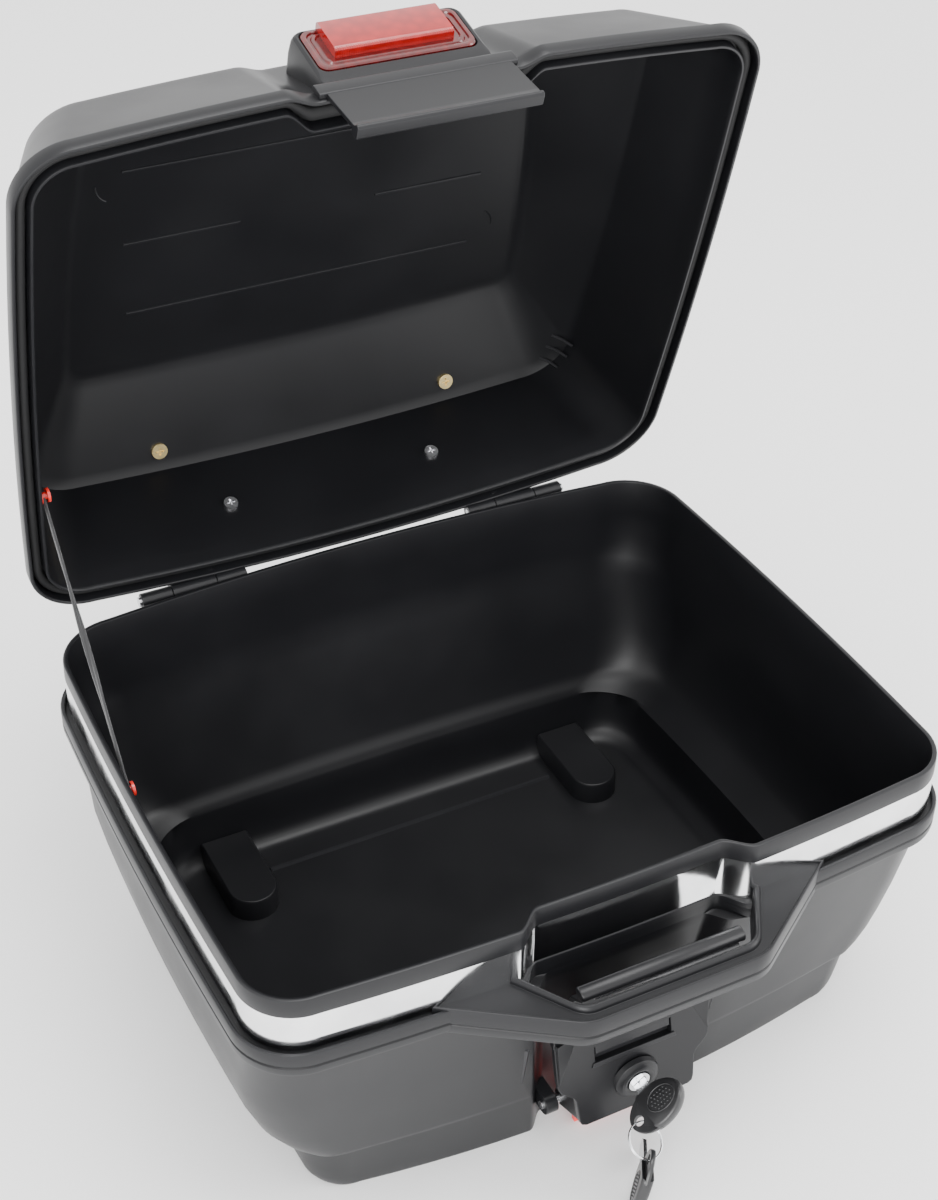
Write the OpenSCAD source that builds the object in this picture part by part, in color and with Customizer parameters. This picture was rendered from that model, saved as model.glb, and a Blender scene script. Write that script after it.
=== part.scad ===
// Motorcycle top case: a moulded base tub and a domed lid on two rear hinges, with a chrome
// trim band, a keyed front latch, a lid strap, a tail reflector and a passenger backrest.
// Origin: centre of the underside, +Z up. The latch side faces -Y, the hinges are at +Y.

/* [Base] */
// Outside width of the base rim
rim_w = 410; // [390:1:430]
// Outside depth of the base rim, without its bowed edges
rim_d = 324; // [310:1:340]
// Height of the base from its underside to the rim
rim_z = 180; // [170:1:190]
// Moulded wall thickness
wall = 3; // [2.6:0.1:3.4]
// Height of the black band above the chrome trim
band_h = 11.4; // [9:0.2:14]
// Height of the chrome trim band
trim_h = 26; // [20:1:30]

/* [Lid] */
// How far the lid's skirt stands outside the base rim at the sides
lid_over = 4.2; // [3.4:0.1:5]
// Height of the lid's flat top panel above the underside
lid_top_z = 293; // [285:1:300]
// Angle at which the strap stops the open lid
lid_open = 74.7; // [70:0.1:80]

/* [Hinge] */
// Height of the hinge axis above the underside
hinge_z = 176; // [175:0.5:177]
// Distance of the hinge axis behind the centre
hinge_y = 174; // [173.5:0.1:174.5]
// Radius of a hinge knuckle
knuckle_r = 4.8; // [4.4:0.1:5]
// Radius of a hinge pin
pin_r = 2; // [1.8:0.1:2.2]

/* [Latch] */
// Lean of the latch plate, foot outward
latch_lean = 13.6; // [10:0.1:16]
// Radius of the rolled bar at the top of the latch
bar_r = 3; // [2.6:0.1:3.2]
// Radius of the latch axle
axle_r = 2.5; // [2.2:0.1:2.6]
// Angle of the key slot above level
key_turn = 38; // [30:1:45]

/* [Hidden] */
$fn = 48;
gap = 0.3;                    // space between bodies that move past each other
run = 0.06;                   // radial clearance of a running fit
e = 0.01;

// ---------- outlines and lofts ----------

// Points of an arc about c, from angle a0 to a1.
function arc_pts(c, r, a0, a1, n) =
    [for (i = [0:n]) let (a = a0 + (a1 - a0) * i / n) [c[0] + r * cos(a), c[1] + r * sin(a)]];

// A plan outline, counter-clockwise from the front right corner. The sides bow outward and the
// front steps inward by notch between x = -nx and nx, over a run of nrun on each side.
function outline(hw, yf, yb, rf, rb, bow_f, bow_b, notch = 0, nx = 60, nrun = 16, taper = 0) =
    let (
        hf = hw - taper,
        xf = hf - rf,
        xb = hw - rb,
        side = [0.25, 0.5, 0.75],
        jog = [[0, 0], [0.3, 0.12], [0.7, 0.88], [1, 1]]
    )
    concat(
        arc_pts([xf, yf + rf], rf, 270, 360, 6),
        [for (t = side) [hf + (hw - hf) * t + 2.7 * 4 * t * (1 - t), yf + rf + (yb - rb - yf - rf) * t]],
        arc_pts([xb, yb - rb], rb, 0, 90, 6),
        [for (t = [0.66, 0.33, 0, -0.33, -0.66]) [xb * t, yb + bow_b * (1 - t * t)]],
        arc_pts([-xb, yb - rb], rb, 90, 180, 6),
        [for (t = side) [-(hw + (hf - hw) * t + 2.7 * 4 * t * (1 - t)), yb - rb - (yb - rb - yf - rf) * t]],
        arc_pts([-xf, yf + rf], rf, 180, 270, 6),
        [for (t = [-0.8, -0.6]) [xf * t, yf - bow_f * (1 - t * t)]],
        [for (j = jog) front_pt(-nx + nrun * j[0], yf, bow_f, xf, notch * j[1])],
        [for (t = [-0.5, 0, 0.5]) front_pt((nx - nrun) * t, yf, bow_f, xf, notch)],
        [for (i = [3:-1:0]) front_pt(nx - nrun * jog[i][0], yf, bow_f, xf, notch * jog[i][1])],
        [for (t = [0.6, 0.8]) [xf * t, yf - bow_f * (1 - t * t)]]
    );
function front_pt(x, yf, bow, xf, in) = [x, yf - bow * (1 - pow(x / xf, 2)) + in];

// An outline lifted to a height, or to a plane that rises towards +Y.
function lift(o, z, rise = 0) = [for (p = o) [p[0], p[1], z + rise * p[1]]];

// A closed solid through a list of rings that all have the same number of points.
module loft(rings) {
    n = len(rings[0]);
    m = len(rings);
    polyhedron(
        points = [for (r = rings) each r],
        faces = concat(
            [[for (j = [0:n - 1]) j]],
            [for (i = [0:m - 2], j = [0:n - 1]) [i * n + j, (i + 1) * n + j, (i + 1) * n + (j + 1) % n]],
            [for (i = [0:m - 2], j = [0:n - 1]) [i * n + j, (i + 1) * n + (j + 1) % n, i * n + (j + 1) % n]],
            [[for (j = [n - 1:-1:0]) (m - 1) * n + j]]
        ),
        convexity = 10
    );
}

// A closed band through a list of rings: the last ring joins the first.
module band(rings) {
    n = len(rings[0]);
    m = len(rings);
    polyhedron(
        points = [for (r = rings) each r],
        faces = concat(
            [for (i = [0:m - 1], j = [0:n - 1]) let (k = (i + 1) % m)
                [i * n + j, k * n + j, k * n + (j + 1) % n]],
            [for (i = [0:m - 1], j = [0:n - 1]) let (k = (i + 1) % m)
                [i * n + j, k * n + (j + 1) % n, i * n + (j + 1) % n]]
        ),
        convexity = 10
    );
}
function reversed(list) = [for (i = [len(list) - 1:-1:0]) list[i]];

module x_cyl(x0, x1, y, z, r) {
    translate([x0, y, z]) rotate([0, 90, 0]) cylinder(h = x1 - x0, r = r);
}
module box(x0, x1, y0, y1, z0, z1) {
    translate([x0, y0, z0]) cube([x1 - x0, y1 - y0, z1 - z0]);
}
module both_sides() {
    for (s = [0, 1]) mirror([s, 0, 0]) children();
}
module bar_between(p, q, r) {
    v = q - p;
    translate(p) rotate([0, acos(v[2] / norm(v)), atan2(v[1], v[0])]) cylinder(h = norm(v), r = r);
}
// Turns closed-lid geometry to the open rest position.
module lid_pose() {
    translate([0, hinge_y, hinge_z]) rotate([-lid_open, 0, 0]) translate([0, -hinge_y, -hinge_z]) children();
}

// ---------- base ----------

hw_rim = rim_w / 2;
yf_rim = -rim_d / 2;
yb_rim = rim_d / 2;
trim_top = rim_z - band_h;
trim_bot = trim_top - trim_h;
trim_t = 0.8;
flange_top = 146.8;
flange_bot = 132;
flange_over = 4.8;
side_step_z = 35;             // the side bulges end here; the lower tub is narrower

// Base rim outline, grown or shrunk by off.
function rim_line(off) = outline(hw_rim + off, yf_rim - off, yb_rim + off, 31 + off, 37 + off, 7.7, 8.7,
                                 11.5 + 0.75 * max(off, 0), 70, 17);
// Front wall position and notch run inward with depth below the flange.
function body_line(z, hw, off, rf, rb, yb) =
    let (t = 1 - z / flange_bot)
    outline(hw + off, yf_rim + 21 * t - off, yb + off, max(rf + off, 3), max(rb + off, 3),
            7.7 + 5 * t, 8.7 * (1 - t), 11, 60 - 11 * t, 13);

// The side bulge, as [height, half width, corner radius].
bulge = [[side_step_z + 1, 178, 22], [41, 186, 28], [50, 194, 34], [65, 200, 38], [85, 203, 38],
         [flange_bot - 1, 203.5, 33]];
function back_y(z) =
    z > side_step_z
        ? 130 + 32 * pow((z - side_step_z) / (flange_bot - side_step_z), 0.8)
        : 122 + 8 * z / side_step_z;
tub = [[0, 164, 14, 6], [2, 168.5, 16, 2.5], [7, 171.5, 18, 0], [side_step_z, 174.5, 20, 0]];

module base_cup() {
    loft(concat(
        [for (b = tub) lift(body_line(b[0], b[1], 0, b[2] + 4, 34, back_y(b[0]) - b[3]), b[0])],
        [for (b = bulge) lift(body_line(b[0], b[1], 0, b[2], 45, back_y(b[0])), b[0])],
        [lift(rim_line(flange_over - 0.6), flange_bot), lift(rim_line(flange_over), flange_bot + 1.5),
         lift(rim_line(flange_over), flange_top - 1), lift(rim_line(flange_over - 0.8), flange_top),
         lift(rim_line(flange_over - 2.4), flange_top), lift(rim_line(flange_over - 2.4), trim_bot),
         lift(rim_line(-trim_t), trim_bot), lift(rim_line(-trim_t), trim_top),
         lift(rim_line(0), trim_top), lift(rim_line(0), rim_z - 1), lift(rim_line(-0.8), rim_z),
         lift(rim_line(-wall + 0.8), rim_z), lift(rim_line(-wall), rim_z - 1),
         lift(rim_line(-wall - 1.2), flange_bot + 2)],
        [for (i = [5:-1:0]) let (b = bulge[i])
            lift(body_line(b[0], b[1], -wall, b[2], 45, back_y(b[0])), b[0] + (i == 0 ? wall - 1 : 0))],
        [for (i = [3:-1:2]) let (b = tub[i])
            lift(body_line(b[0], b[1], -wall, b[2] + 4, 34, back_y(b[0])), b[0] + (i == 3 ? wall - 1 : 0))],
        [lift(body_line(wall, 160, 0, 12, 26, 114), wall)]
    ));
}

// Front ledge: a hollow trapezoid moulding with a pocket for the latch bar and the lid's tongue.
ledge_out = [[-120, -164], [-52, -210], [52, -210], [120, -164]];
ledge_in = [[-108, -164], [-50, -206.5], [50, -206.5], [108, -164]];
pocket_out = [[-79, -160], [-52, -202], [52, -202], [79, -160]];
pocket_in = [[-76, -160], [-50, -199.5], [50, -199.5], [76, -160]];
ledge_back = [[108, -160], [-108, -160]];

module slab(pts, z0, z1) {
    translate([0, 0, z0]) linear_extrude(z1 - z0) polygon(pts);
}
module ledge() {
    difference() {
        slab(concat(ledge_out, [[112, -157], [-112, -157]]), flange_bot - 1, flange_top + 0.6);
        slab(concat(ledge_in, ledge_back), flange_bot - 2, flange_top - wall);
        slab(concat(pocket_in, [[76, -100], [-76, -100]]), flange_bot - 2, flange_top + 2);
        behind_front();
    }
    difference() {
        slab(concat(pocket_out, [[79, -158], [-79, -158]]), flange_bot, flange_top + 3.4);
        slab(concat(pocket_in, [[76, -100], [-76, -100]]), flange_bot - 2, flange_top + 4);
        behind_front();
    }
}
// Keeps the ledge out of the tub: everything behind the middle of the front wall.
module behind_front() {
    slab(rim_line(-1.6), 100, 160);
    slab(rim_line(0.02), trim_bot, 160);
}

lug_x = [38, 45.5];
axle_y = -158;
axle_z = 27;
module latch_lugs() {
    both_sides() difference() {
        union() {
            box(lug_x[0], lug_x[1], axle_y, -144.5, axle_z - 6, axle_z + 6);
            x_cyl(lug_x[0], lug_x[1], axle_y, axle_z, 6);
        }
        x_cyl(lug_x[0] - 1, lug_x[1] + 1, axle_y, axle_z, axle_r);
    }
}

// Hinge knuckles, as [x0, x1, y where the web starts inside the rear wall].
base_knuckles = [[76, 95.2, 166.6], [123.8, 143, 163.3]];
lid_knuckle = [95.5, 123.5];
module base_hinges() {
    both_sides() for (k = base_knuckles) difference() {
        union() {
            x_cyl(k[0], k[1], hinge_y, hinge_z, knuckle_r);
            box(k[0], k[1], k[2], hinge_y, hinge_z - knuckle_r, hinge_z);
            box(k[0], k[1], k[2], hinge_y - 3, trim_top + 0.1, hinge_z - knuckle_r + e);
        }
        x_cyl(k[0] - 1, k[1] + 1, hinge_y, hinge_z, pin_r);
    }
}

// Pockets under the floor that take the hooks of a carrier plate; they show inside as raised bosses.
hook_w = 26;
hook_len = 46;
hook_h = 16;
hook_at = [120.5, 74];        // centre of a boss's round end
module hook_boss(grow, z0, z1) {
    both_sides() translate([hook_at[0], hook_at[1], z0]) linear_extrude(z1 - z0) {
        circle(r = hook_w / 2 + grow);
        translate([-hook_w / 2 - grow, 0]) square([hook_w + 2 * grow, hook_len + grow]);
    }
}
// Slots under the floor for the release lever's tongue.
release_w = 24;
module release_slot() {
    box(-release_w - gap, release_w + gap, -170, -118, 4 - gap, 7 + gap);
    box(-release_w - gap, release_w + gap, -134, -118, -1, 7 + gap);
}

strap_low = [-203.65, 36, 160];
module base_shell() {
    color("#2b2c30") difference() {
        union() {
            base_cup();
            ledge();
            latch_lugs();
            base_hinges();
            hook_boss(wall - 0.4, 1, hook_h + 3);
            box(-34, 34, -140, -112, 1, 11);
        }
        hook_boss(0, -1, hook_h);
        release_slot();
        x_cyl(-hw_rim - 6, -hw_rim + 8, strap_low[1], strap_low[2], 3);
    }
}

module chrome_band() {
    color("#e6e8ea") band([
        lift(rim_line(-0.05), trim_bot + 0.1), lift(rim_line(-0.05), trim_top - 0.1),
        lift(rim_line(-trim_t + 0.1), trim_top - 0.1), lift(rim_line(-trim_t + 0.1), trim_bot + 0.1)]);
}

module hinge_pins() {
    color("#b9bcc0") both_sides() {
        x_cyl(base_knuckles[0][0], base_knuckles[1][1], hinge_y, hinge_z, pin_r);
        x_cyl(base_knuckles[1][1], base_knuckles[1][1] + 1.6, hinge_y, hinge_z, pin_r + 1);
    }
}

module latch_axle() {
    color("#8f9296") x_cyl(-lug_x[1] - 1, lug_x[1] + 1, axle_y, axle_z, axle_r);
}

// Torsion spring on the axle, drawn as its coil's outer form with two legs.
module latch_spring() {
    color("#9a9da1") difference() {
        union() {
            x_cyl(-9, 9, axle_y, axle_z, axle_r + 2.2);
            bar_between([8, axle_y + 2, axle_z + 3], [8, -148, axle_z + 9], 0.6);
            bar_between([-8, axle_y - 3, axle_z - 1], [-8, -170, axle_z + 6], 0.6);
        }
        x_cyl(-10, 10, axle_y, axle_z, axle_r + 0.5);
    }
}

// Red spool grommet that ties a strap end to a side wall; it lies along +X from its seat.
module spool() {
    rotate([0, 90, 0]) {
        cylinder(h = 1.6, r = 4.6);
        cylinder(h = 6, r = 2.2);
        translate([0, 0, 4.6]) cylinder(h = 1.6, r = 4.2);
    }
}
module strap_anchor_base() {
    color("#c8281e") translate([strap_low[0] + 0.1, strap_low[1], strap_low[2]]) {
        spool();
        rotate([0, -90, 0]) cylinder(h = 2.8, r = 2.8);
    }
}

strap_w = 5.4;
strap_t = 1.8;
module lid_strap() {
    top = open_pt(strap_high) + [3.2, 0, 0];
    low = strap_low + [3.2, 0, 0];
    v = top - low;
    u = v / norm(v);
    color("#3a3b3f") translate(low + 5.4 * u) rotate([0, acos(u[2]), atan2(u[1], u[0])])
        translate([-strap_t / 2, -strap_w / 2, 0]) cube([strap_t, strap_w, norm(v) - 10.8]);
}
function open_pt(p) =
    let (y = p[1] - hinge_y, z = p[2] - hinge_z)
    [p[0], hinge_y + y * cos(lid_open) + z * sin(lid_open), hinge_z - y * sin(lid_open) + z * cos(lid_open)];

// Return spring of the release lever, drawn as its coil's outer form.
module release_spring() {
    color("#9a9da1") translate([0, -118.1, 5.5]) rotate([90, 0, 0]) cylinder(h = 7.8, r = 1.4);
}

// ---------- lid, drawn closed ----------

lid_hw = hw_rim + lid_over;
lid_yf = yf_rim - 5.5;
lid_yb = yb_rim + 3;
skirt_z = 178;
skirt_top = 186;
crease_z = 254;               // height of the dome's crease at the centre
crease_rise = 0.06;
lip_in = 9.7;                 // set-back of the inner lip from the skirt's outside
strap_high = [-198.6, 78, 192];

function lid_line(off, notch = 0) =
    outline(lid_hw + off, lid_yf - off, lid_yb + off, 33 + off, 39 + off, 7.7, 8.7, notch, 72, 17);
function dome_line(off) =
    outline(188 + off, -141.5 - off, 158 + off, 30 + off, 34 + off, 6, 6, 5, 72, 17, 6);
function panel_line(off) =
    outline(150 + off, -82 - off, 97 + off, 14 + off, 14 + off, 2, 2, 0, 40, 10, 12);

module lid_cup() {
    loft(reversed([
        lift(panel_line(0), lid_top_z),
        lift(panel_line(1.5), lid_top_z - 0.5),
        lift(dome_line(-1.5), crease_z + 0.8, crease_rise),
        lift(dome_line(0), crease_z - 1.5, crease_rise),
        lift(lid_line(-4.6, 6.5), skirt_top + 4),
        lift(lid_line(-1, 5.6), skirt_top + 1),
        lift(lid_line(0, 5.7), skirt_top - 0.5),
        lift(lid_line(0, 5.7), skirt_z + 0.6),
        lift(lid_line(-0.6, 5.7), skirt_z),
        lift(lid_line(-2.3, 5.7), skirt_z),
        lift(lid_line(-2.4, 5.7), skirt_z + 9),
        lift(lid_line(-lip_in, 13), skirt_z + 9),
        lift(lid_line(-lip_in, 13), skirt_z + 1),
        lift(lid_line(-lip_in - 2, 13), skirt_z + 1),
        lift(lid_line(-lip_in - 2.4, 6), skirt_top + 8),
        lift(dome_line(-wall), crease_z - 3, crease_rise),
        lift(panel_line(-1), lid_top_z - wall - 0.3),
        lift(panel_line(-wall), lid_top_z - wall)
    ]));
}

tongue_x = 50.5;
bead_at = [-175.9, 146.4];    // y and z of the catch bead that the latch bar hooks over
bead_r = 1.8;
module tongue() {
    translate([-tongue_x, 0, 0]) rotate([90, 0, 90]) linear_extrude(2 * tongue_x)
        polygon([[-171, 189], [-168, 189], [-168, 184], [-173, 151.5], [-169.9, 150.5], [-169.9, 144.8],
                 [-176, 144.6], [-176, 148], [-171, 184]]);
    x_cyl(-tongue_x, tongue_x, bead_at[0], bead_at[1], bead_r);
    box(-tongue_x - 4, tongue_x + 4, -171.9, -168, 180, 189);
}
plinth_x = 48;
plinth_y = -167;
module plinth() {
    translate([-plinth_x, 0, 0]) rotate([90, 0, 90]) linear_extrude(2 * plinth_x)
        polygon([[-169.6, 187.6], [plinth_y, 201], [plinth_y + 3, 201.8], [plinth_y + 3, 234], [-162.5, 235],
                 [-144.5, 235], [-160, 187.6]]);
}
module panel_ribs() {
    for (r = [[-115, 115, -54], [43, 114, -2], [-114, -43, -2], [-112, 112, 51]])
        box(r[0], r[1], r[2] - 0.7, r[2] + 0.7, lid_top_z - wall - 1, lid_top_z - wall + 1);
}
module lid_knuckles() {
    both_sides() difference() {
        union() {
            x_cyl(lid_knuckle[0], lid_knuckle[1], hinge_y, hinge_z, knuckle_r);
            box(lid_knuckle[0], lid_knuckle[1], 168.2, hinge_y + 1, hinge_z + 2, hinge_z + 8);
            box(lid_knuckle[0], lid_knuckle[1], 168.2, hinge_y + knuckle_r - 0.6, hinge_z, hinge_z + 3.4);
        }
        x_cyl(lid_knuckle[0] - 1, lid_knuckle[1] + 1, hinge_y, hinge_z, pin_r + run);
    }
}
// Screw places on the rear of the lid, drawn closed: [x, y, z, tilt of the screw's axis above level].
upper_screw = [99, 148.5, 268.5, 66];
lower_screw = [69, 163.8, 220, 6];
screw_r = 2.5;
module at_screw(s) {
    both_sides() translate([s[0], s[1], s[2]]) rotate([-90 + s[3], 0, 0]) children();
}

module lid_shell() {
    color("#2b2c30") lid_pose() difference() {
        union() {
            lid_cup();
            tongue();
            plinth();
            panel_ribs();
            lid_knuckles();
        }
        both_sides() for (k = base_knuckles)
            box(k[0] - 0.8, k[1] + 0.8, 162.2, 182, hinge_z - 6, hinge_z + 7.5);
        at_screw(upper_screw) cylinder(h = 30, r = screw_r, center = true);
        at_screw(upper_screw) translate([0, 0, -8.1]) cylinder(h = 5, r = 5.1);
        at_screw(lower_screw) cylinder(h = 30, r = screw_r, center = true);
        at_screw(lower_screw) translate([0, 0, -9]) cylinder(h = 5, r = 4.5);
        x_cyl(strap_high[0] - 14, strap_high[0] + 4, strap_high[1], strap_high[2], 3);
    }
}

module lid_seal() {
    color("#17181a") lid_pose() band([
        lift(lid_line(-4, 9), 182), lift(lid_line(-4, 9), skirt_z + 8.8),
        lift(lid_line(-8.4, 11.5), skirt_z + 8.8), lift(lid_line(-8.4, 11.5), 182)]);
}

module reflector_base() {
    color("#5d0f12") lid_pose() box(-43.5, 43.5, plinth_y - 0.5, plinth_y + 2.95, 202, 234);
}
module reflector_lens() {
    color("#b3151b") lid_pose() difference() {
        translate([-33, 0, 0]) rotate([90, 0, 90]) linear_extrude(66)
            polygon([[plinth_y - 0.51, 210], [plinth_y - 5, 211], [plinth_y - 6, 213], [plinth_y - 6, 233.5],
                     [plinth_y - 4.5, 235], [plinth_y - 0.51, 235]]);
        for (x = [-27:6:27]) box(x - 0.5, x + 0.5, plinth_y - 7, plinth_y - 5.4, 214, 231);
    }
}

// Moulded carrier of the backrest, screwed to the lid's rear wall and slope.
carrier_x = 112;
module backrest_carrier() {
    color("#232427") lid_pose() difference() {
        union() {
            translate([-carrier_x, 0, 0]) rotate([90, 0, 90]) linear_extrude(2 * carrier_x)
                polygon([[170.6, 198], [166.4, 262], [169, 265], [173, 264], [176, 242], [176, 202], [173, 198]]);
            at_screw(upper_screw) {
                translate([0, 0, 2]) cylinder(h = 3, r = 8);
                translate([-8, 0, 2]) cube([16, 22.5, 3]);
            }
        }
        at_screw(upper_screw) cylinder(h = 40, r = screw_r, center = true);
        at_screw(lower_screw) cylinder(h = 16, r = screw_r, center = true);
    }
}
module backrest_pad() {
    color("#1c1d1f") lid_pose() translate([-106, 0, 0]) rotate([90, 0, 90]) linear_extrude(212)
        polygon([[176.2, 204], [176.2, 256], [183, 260], [190, 254], [192.5, 230], [190, 207], [184, 201]]);
}

// Screws through the lid wall into the carrier; the heads are inside the lid.
module lid_screw(head_r, head_h, length) {
    cylinder(h = length, r = screw_r - 0.05);
    translate([0, 0, -head_h]) difference() {
        cylinder(h = head_h, r = head_r);
        for (a = [0, 90]) rotate([0, 0, a]) translate([-2.6, -0.5, -1]) cube([5.2, 1, 2.4]);
    }
}
module upper_screws() {
    color("#b99a4a") lid_pose() at_screw(upper_screw) translate([0, 0, -3.1]) lid_screw(5, 2.2, 12);
}
module lower_screws() {
    color("#c4c7ca") lid_pose() at_screw(lower_screw) translate([0, 0, -4]) lid_screw(4.4, 2.4, 10.5);
}

module strap_anchor_lid() {
    color("#c8281e") lid_pose() translate([strap_high[0] + 0.6, strap_high[1], strap_high[2]]) {
        spool();
        rotate([0, -90, 0]) cylinder(h = 3.2, r = 2.8);
    }
}

// ---------- latch, drawn at its open rest ----------

plate_foot = [-183, 30];      // y and z of the plate's outer lower edge
plate_t = 4;
bar_at = [-190, 148];
lever_x = 47.5;
lock_z = 47.5;
bezel_r = 10.2;
barrel_r = 6.3;

// Places geometry drawn in the plate's own plane, x across and y up, with its outer face at z = 0.
module on_plate() {
    translate([0, plate_foot[0], plate_foot[1]]) rotate([90 - latch_lean, 0, 0]) children();
}
module latch_lever() {
    color("#34353a") difference() {
        union() {
            on_plate() translate([0, 0, -plate_t]) linear_extrude(plate_t)
                polygon([[-32, 0], [32, 0], [35.3, 3], [36.8, 19.5], [46.5, 28.5], [lever_x, 58],
                         [-lever_x, 58], [-46.5, 28.5], [-36.8, 19.5], [-35.3, 3]]);
            translate([-lever_x, 0, 0]) rotate([90, 0, 90]) linear_extrude(2 * lever_x)
                polygon([[-169.6, 84], [-165.6, 84], [-166, 92], [-182, 138], [-189.2, 142.3], [-189.2, 147.5],
                         [-192.8, 148], [-192.8, 143], [-186.5, 138.5], [-170, 90]]);
            x_cyl(-lever_x - 0.5, lever_x + 0.5, bar_at[0], bar_at[1], bar_r);
            both_sides() translate([29.5, 0, 0]) rotate([90, 0, 90]) linear_extrude(5)
                polygon([[-180, 32], [-176, 50], [-172, 50], [axle_y + 5, axle_z + 3], [axle_y + 5, axle_z - 3],
                         [axle_y + 1, axle_z - 5.2], [-178, 30]]);
        }
        both_sides() x_cyl(28, 36, axle_y, axle_z, axle_r + run);
        on_plate() translate([-23.5, 39, -plate_t - 1]) cube([47, 10, plate_t + 2]);
        translate([0, -150, lock_z]) rotate([90, 0, 0]) cylinder(h = 40, r = 9.05);
        translate([0, -179.85, lock_z]) rotate([90, 0, 0]) cylinder(h = 10, r = bezel_r + 0.1);
    }
}

// Discs and sleeves about the lock's axis, from y0 back to y1.
module lock_cyl(y0, y1, r, sides = 48) {
    translate([0, y1, lock_z]) rotate([90, 0, 0]) cylinder(h = y1 - y0, r = r, $fn = sides);
}
module lock_bezel() {
    color("#1f2022") difference() {
        union() {
            lock_cyl(-182, -179.9, bezel_r);
            lock_cyl(-180, -160, 9);
        }
        lock_cyl(-190, -159, barrel_r + run);
    }
}
module lock_nut() {
    color("#a9acb0") difference() {
        lock_cyl(-171.5, -168.5, 12.5, 6);
        lock_cyl(-172, -168, 9.05);
        on_plate() translate([-30, 0, -plate_t]) cube([60, 50, 20]);
    }
}
slot_w = 8.6;
slot_t = 2.6;
module in_slot() {
    translate([0, 0, lock_z]) rotate([0, -key_turn, 0]) children();
}
module lock_cylinder() {
    color("#b4b7bb") difference() {
        lock_cyl(-182.3, -159.5, barrel_r);
        in_slot() box(-slot_w / 2, slot_w / 2, -183, -162.5, -slot_t / 2, slot_t / 2);
        lock_cyl(-162, -159, 1.5);
    }
}
module lock_cam() {
    color("#8d9094") difference() {
        union() {
            lock_cyl(-159.45, -157.6, 6);
            in_slot() box(0, 13, -159.45, -157.6, -3.5, 3.5);
        }
        lock_cyl(-160, -157, 1.5);
    }
}
module cam_screw() {
    color("#9fa2a6") {
        lock_cyl(-157.55, -156.4, 3);
        lock_cyl(-161.8, -157.5, 1.45);
    }
}

// ---------- keys, drawn with the blade along +Y, the head's length along X and the hole at -X ----------

head_a = 17.5;
head_b = 12;
head_t = 6.6;
tab_t = 2.6;
hole_x = -12.3;
hole_r = 3.4;
key_y = -200;
key_axis_dir = [cos(key_turn), 0, sin(key_turn)];

module oval(t) {
    translate([0, 0, -t / 2]) linear_extrude(t)
        polygon([for (a = [0:10:350]) [head_a * cos(a), head_b * sin(a)]]);
}
module head_shape() {
    difference() {
        union() {
            intersection() {
                oval(head_t);
                box(-6, 30, -30, 30, -5, 5);
            }
            oval(tab_t);
        }
        translate([hole_x, 0, -5]) cylinder(h = 10, r = hole_r);
        box(-4, 4, 7, 20, -1, 1);
    }
}
module blade_shape() {
    difference() {
        box(-3.95, 3.95, 7.02, 36, -0.98, 0.98);
        for (s = [-1, 1]) translate([s * 5.6, 36, -2]) cylinder(h = 4, r = 3.2);
        box(-0.6, 0.6, 15, 40, 0.4, 2);
    }
}
module place_key() {
    translate([0, key_y, lock_z]) rotate([0, -key_turn, 0]) children();
}
module key_blade() {
    color("#c2c5c9") place_key() blade_shape();
}
module key_head() {
    color("#202124") place_key() head_shape();
}

ring_r = 10.2;
wire_r = 0.8;
ring_hole = [hole_x * key_axis_dir[0], key_y, lock_z + hole_x * key_axis_dir[2]];
ring_dir = [-0.15, -0.853, -0.5];
ring_tan = [-0.958, 0, 0.287];
ring_axis = -cross(ring_dir, ring_tan);
ring_c = ring_hole + ring_r * ring_dir;
spare_hole = ring_hole + 2 * ring_r * ring_dir;
spare_turn = [-121.8, 66, -155.6];
module key_ring() {
    color("#cfd2d6") translate(ring_c) rotate([0, acos(ring_axis[2]), atan2(ring_axis[1], ring_axis[0])])
        rotate_extrude() translate([ring_r, 0]) circle(r = wire_r);
}
module place_spare() {
    translate(spare_hole) rotate(spare_turn) translate([-hole_x, 0, 0]) children();
}
module spare_key_blade() {
    color("#c2c5c9") place_spare() blade_shape();
}
module spare_key_head() {
    color("#202124") place_spare() head_shape();
}

// Red lever that slides outward under the floor to free the case from its carrier.
module release_lever() {
    color("#c3241c") difference() {
        union() {
            box(-release_w, release_w, -158.5, -118.4, 4, 7);
            box(-release_w, release_w, -158.5, -155.5, 1, 7);
            box(-release_w, release_w, -125.5, -118.4, 0.6, 5);
        }
        box(-2, 2, -126, -118, 3, 8);
    }
}

base_shell();
chrome_band();
hinge_pins();
latch_axle();
latch_spring();
strap_anchor_base();
lid_strap();
release_spring();
lid_shell();
lid_seal();
reflector_base();
reflector_lens();
backrest_carrier();
backrest_pad();
upper_screws();
lower_screws();
strap_anchor_lid();
latch_lever();
lock_bezel();
lock_nut();
lock_cylinder();
lock_cam();
cam_screw();
key_blade();
key_head();
key_ring();
spare_key_blade();
spare_key_head();
release_lever();
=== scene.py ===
"""Looks of a motorcycle top case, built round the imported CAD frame.

Shapes are drawn in millimetres, and finish_mesh turns them into metres; the stage and camera are in metres.
"""

import math

import bmesh
import bpy
from mathutils import Euler, Matrix, Vector


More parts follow.
